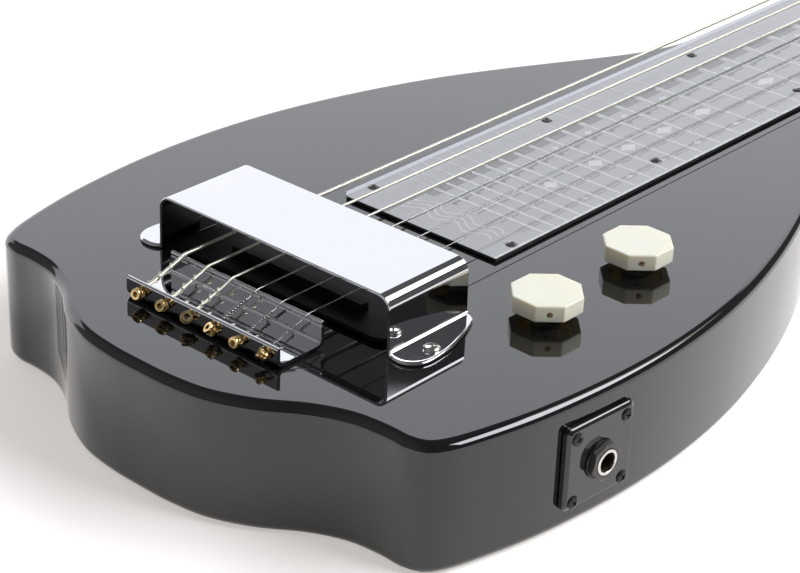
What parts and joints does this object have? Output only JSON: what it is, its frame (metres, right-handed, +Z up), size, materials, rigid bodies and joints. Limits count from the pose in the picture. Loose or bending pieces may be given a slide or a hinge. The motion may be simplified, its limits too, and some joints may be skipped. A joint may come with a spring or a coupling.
{
  "type": "lap steel guitar",
  "caption": "Electric lap steel guitar: full-depth black body and neck, chrome pickup cover and bridge, clear fretboard plate, ivory knobs that turn, and geared tuners.",
  "frame": {"origin": "on the flat underside, on the centreline, directly below the saddle's string line", "axes": "+X from the saddle to the headstock, +Y to the bass side, +Z up through the top"},
  "size_m": [0.7735, 0.2413, 0.069],
  "materials": {
    "black_lacquer": "high gloss black lacquer",
    "acrylic": "clear polished sheet, printed below",
    "chrome": "mirror",
    "nickel": "nickel plated",
    "magnet_steel": "dull",
    "black_plastic": "satin black",
    "copper_wire": "fine enamelled wire",
    "ivory": "polished ivory plastic",
    "plain_steel": "plain",
    "black_metal": "black",
    "wound_bronze": "bronze wound",
    "string_steel": "plain wire"
  },
  "bodies": {
    "guitar": {"body": "black_lacquer", "bridge_channel": "chrome", "cavity_cover": "black_plastic", "cover_screw_bass": "nickel", "cover_screw_treble": "nickel", "fretboard_plate": "acrylic", "jack_nut": "black_metal", "jack_plate": "black_plastic", "jack_screw_1": "black_metal", "jack_screw_2": "black_metal", "jack_screw_3": "black_metal", "jack_screw_4": "black_metal", "jack_socket": "nickel", "jack_washer": "black_metal", "leg_socket_bass": "nickel", "leg_socket_neck": "nickel", "leg_socket_treble": "nickel", "nut": "nickel", "pickup_base": "nickel", "pickup_blade": "magnet_steel", "pickup_bobbin": "black_plastic", "pickup_coil": "copper_wire", "pickup_cover": "chrome", "pickup_magnet_front": "magnet_steel", "pickup_magnet_rear": "magnet_steel", "saddle_rod": "chrome", "string_1": "wound_bronze", "string_2": "wound_bronze", "string_3": "wound_bronze", "string_4": "string_steel", "string_5": "string_steel", "string_6": "string_steel", "tone_pot": "plain_steel", "tone_pot_nut": "nickel", "tuner_plate_bass": "nickel", "tuner_plate_treble": "nickel", "volume_pot": "plain_steel", "volume_pot_nut": "nickel"},
    "volume": {"volume_knob": "ivory", "volume_pot_shaft": "plain_steel"},
    "tone": {"tone_knob": "ivory", "tone_pot_shaft": "plain_steel"},
    "post_1": {"tuner_post_1": "nickel"},
    "key_1": {"tuner_worm_1": "nickel", "tuner_button_1": "ivory"},
    "post_6": {"tuner_post_6": "nickel"},
    "key_6": {"tuner_worm_6": "nickel", "tuner_button_6": "ivory"},
    "post_2": {"tuner_post_2": "nickel"},
    "key_2": {"tuner_worm_2": "nickel", "tuner_button_2": "ivory"},
    "post_5": {"tuner_post_5": "nickel"},
    "key_5": {"tuner_worm_5": "nickel", "tuner_button_5": "ivory"},
    "post_3": {"tuner_post_3": "nickel"},
    "key_3": {"tuner_worm_3": "nickel", "tuner_button_3": "ivory"},
    "post_4": {"tuner_post_4": "nickel"},
    "key_4": {"tuner_worm_4": "nickel", "tuner_button_4": "ivory"}
  },
  "joints": [
    {"name": "volume_turn", "type": "hinge", "parent": "guitar", "child": "volume", "pos_m": [0.0696, -0.0734, 0.05], "axis": [0, 0, 1], "range_deg": [-150, 150]},
    {"name": "tone_turn", "type": "hinge", "parent": "guitar", "child": "tone", "pos_m": [0.122, -0.0728, 0.05], "axis": [0, 0, 1], "range_deg": [-150, 150]},
    {"name": "key_1_turn", "type": "hinge", "parent": "guitar", "child": "key_1", "pos_m": [0.6262, 0.027, 0.017], "axis": [0, 1, 0], "continuous": true},
    {"name": "post_1_turn", "type": "hinge", "parent": "guitar", "child": "post_1", "pos_m": [0.6165, 0.027, 0.03], "axis": [0, 0, 1], "continuous": true},
    {"name": "key_6_turn", "type": "hinge", "parent": "guitar", "child": "key_6", "pos_m": [0.6262, -0.027, 0.017], "axis": [0, -1, 0], "continuous": true},
    {"name": "post_6_turn", "type": "hinge", "parent": "guitar", "child": "post_6", "pos_m": [0.6165, -0.027, 0.03], "axis": [0, 0, 1], "continuous": true},
    {"name": "key_2_turn", "type": "hinge", "parent": "guitar", "child": "key_2", "pos_m": [0.6612, 0.027, 0.017], "axis": [0, 1, 0], "continuous": true},
    {"name": "post_2_turn", "type": "hinge", "parent": "guitar", "child": "post_2", "pos_m": [0.6515, 0.027, 0.03], "axis": [0, 0, 1], "continuous": true},
    {"name": "key_5_turn", "type": "hinge", "parent": "guitar", "child": "key_5", "pos_m": [0.6612, -0.027, 0.017], "axis": [0, -1, 0], "continuous": true},
    {"name": "post_5_turn", "type": "hinge", "parent": "guitar", "child": "post_5", "pos_m": [0.6515, -0.027, 0.03], "axis": [0, 0, 1], "continuous": true},
    {"name": "key_3_turn", "type": "hinge", "parent": "guitar", "child": "key_3", "pos_m": [0.6962, 0.027, 0.017], "axis": [0, 1, 0], "continuous": true},
    {"name": "post_3_turn", "type": "hinge", "parent": "guitar", "child": "post_3", "pos_m": [0.6865, 0.027, 0.03], "axis": [0, 0, 1], "continuous": true},
    {"name": "key_4_turn", "type": "hinge", "parent": "guitar", "child": "key_4", "pos_m": [0.6962, -0.027, 0.017], "axis": [0, -1, 0], "continuous": true},
    {"name": "post_4_turn", "type": "hinge", "parent": "guitar", "child": "post_4", "pos_m": [0.6865, -0.027, 0.03], "axis": [0, 0, 1], "continuous": true}
  ],
  "couplings": [
    {"joint": "post_1_turn", "follows": "key_1_turn", "ratio": -0.071429},
    {"joint": "post_6_turn", "follows": "key_6_turn", "ratio": 0.071429},
    {"joint": "post_2_turn", "follows": "key_2_turn", "ratio": -0.071429},
    {"joint": "post_5_turn", "follows": "key_5_turn", "ratio": 0.071429},
    {"joint": "post_3_turn", "follows": "key_3_turn", "ratio": -0.071429},
    {"joint": "post_4_turn", "follows": "key_4_turn", "ratio": 0.071429}
  ]
}
